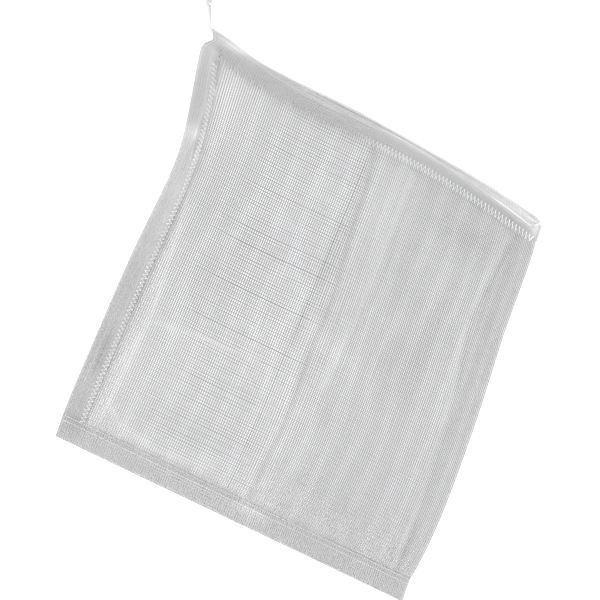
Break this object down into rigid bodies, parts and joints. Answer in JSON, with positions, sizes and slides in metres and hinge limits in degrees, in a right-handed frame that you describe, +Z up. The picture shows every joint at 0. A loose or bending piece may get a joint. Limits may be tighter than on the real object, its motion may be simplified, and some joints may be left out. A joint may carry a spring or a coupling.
{
  "type": "mesh laundry bag",
  "caption": "Flat white mesh laundry bag with a hemmed bottom, a side seam and a drawcord in the channel round its mouth, lying empty.",
  "frame": {"origin": "under the middle of the cloth bag, on the surface that it lies on", "axes": "+Z up, +Y from the bottom hem towards the mouth, +X from the side seam towards the folded side"},
  "size_m": [0.4534, 0.4795, 0.0158],
  "materials": {
    "net_cloth": "matt white polyester net, see-through",
    "doubled_net_cloth": "matt white polyester net in several layers",
    "sewing_thread": "white polyester sewing thread, slight sheen",
    "drawcord": "smooth white braided cord"
  },
  "bodies": {
    "left_half": {"back_panel_left": "net_cloth", "front_panel_left": "net_cloth", "bottom_hem_left": "doubled_net_cloth", "hem_stitches_left": "sewing_thread", "back_channel_left": "doubled_net_cloth", "front_channel_left": "doubled_net_cloth", "back_channel_stitches_left": "sewing_thread", "front_channel_stitches_left": "sewing_thread", "side_seam_band": "doubled_net_cloth", "side_seam_overlock": "sewing_thread"},
    "right_half": {"back_panel_right": "net_cloth", "front_panel_right": "net_cloth", "bottom_hem_right": "doubled_net_cloth", "hem_stitches_right": "sewing_thread", "back_channel_right": "doubled_net_cloth", "front_channel_right": "doubled_net_cloth", "back_channel_stitches_right": "sewing_thread", "front_channel_stitches_right": "sewing_thread", "right_fold": "doubled_net_cloth", "mouth_corner_fold": "doubled_net_cloth", "cord_loop": "drawcord"},
    "drawcord": {"cord_front_strand": "drawcord", "cord_back_strand": "drawcord", "cord_knot": "drawcord"}
  },
  "joints": [
    {"name": "centre_fold", "type": "hinge", "parent": "left_half", "child": "right_half", "pos_m": [0.008, 0, 0.0168], "axis": [0.1087, -0.9941, 0], "range_deg": [0, 180]},
    {"name": "drawcord_pull", "type": "slide", "parent": "left_half", "child": "drawcord", "axis": [-1, 0, 0], "range_m": [0, 0.15], "deforming": ["cord_front_strand", "cord_back_strand"]}
  ]
}
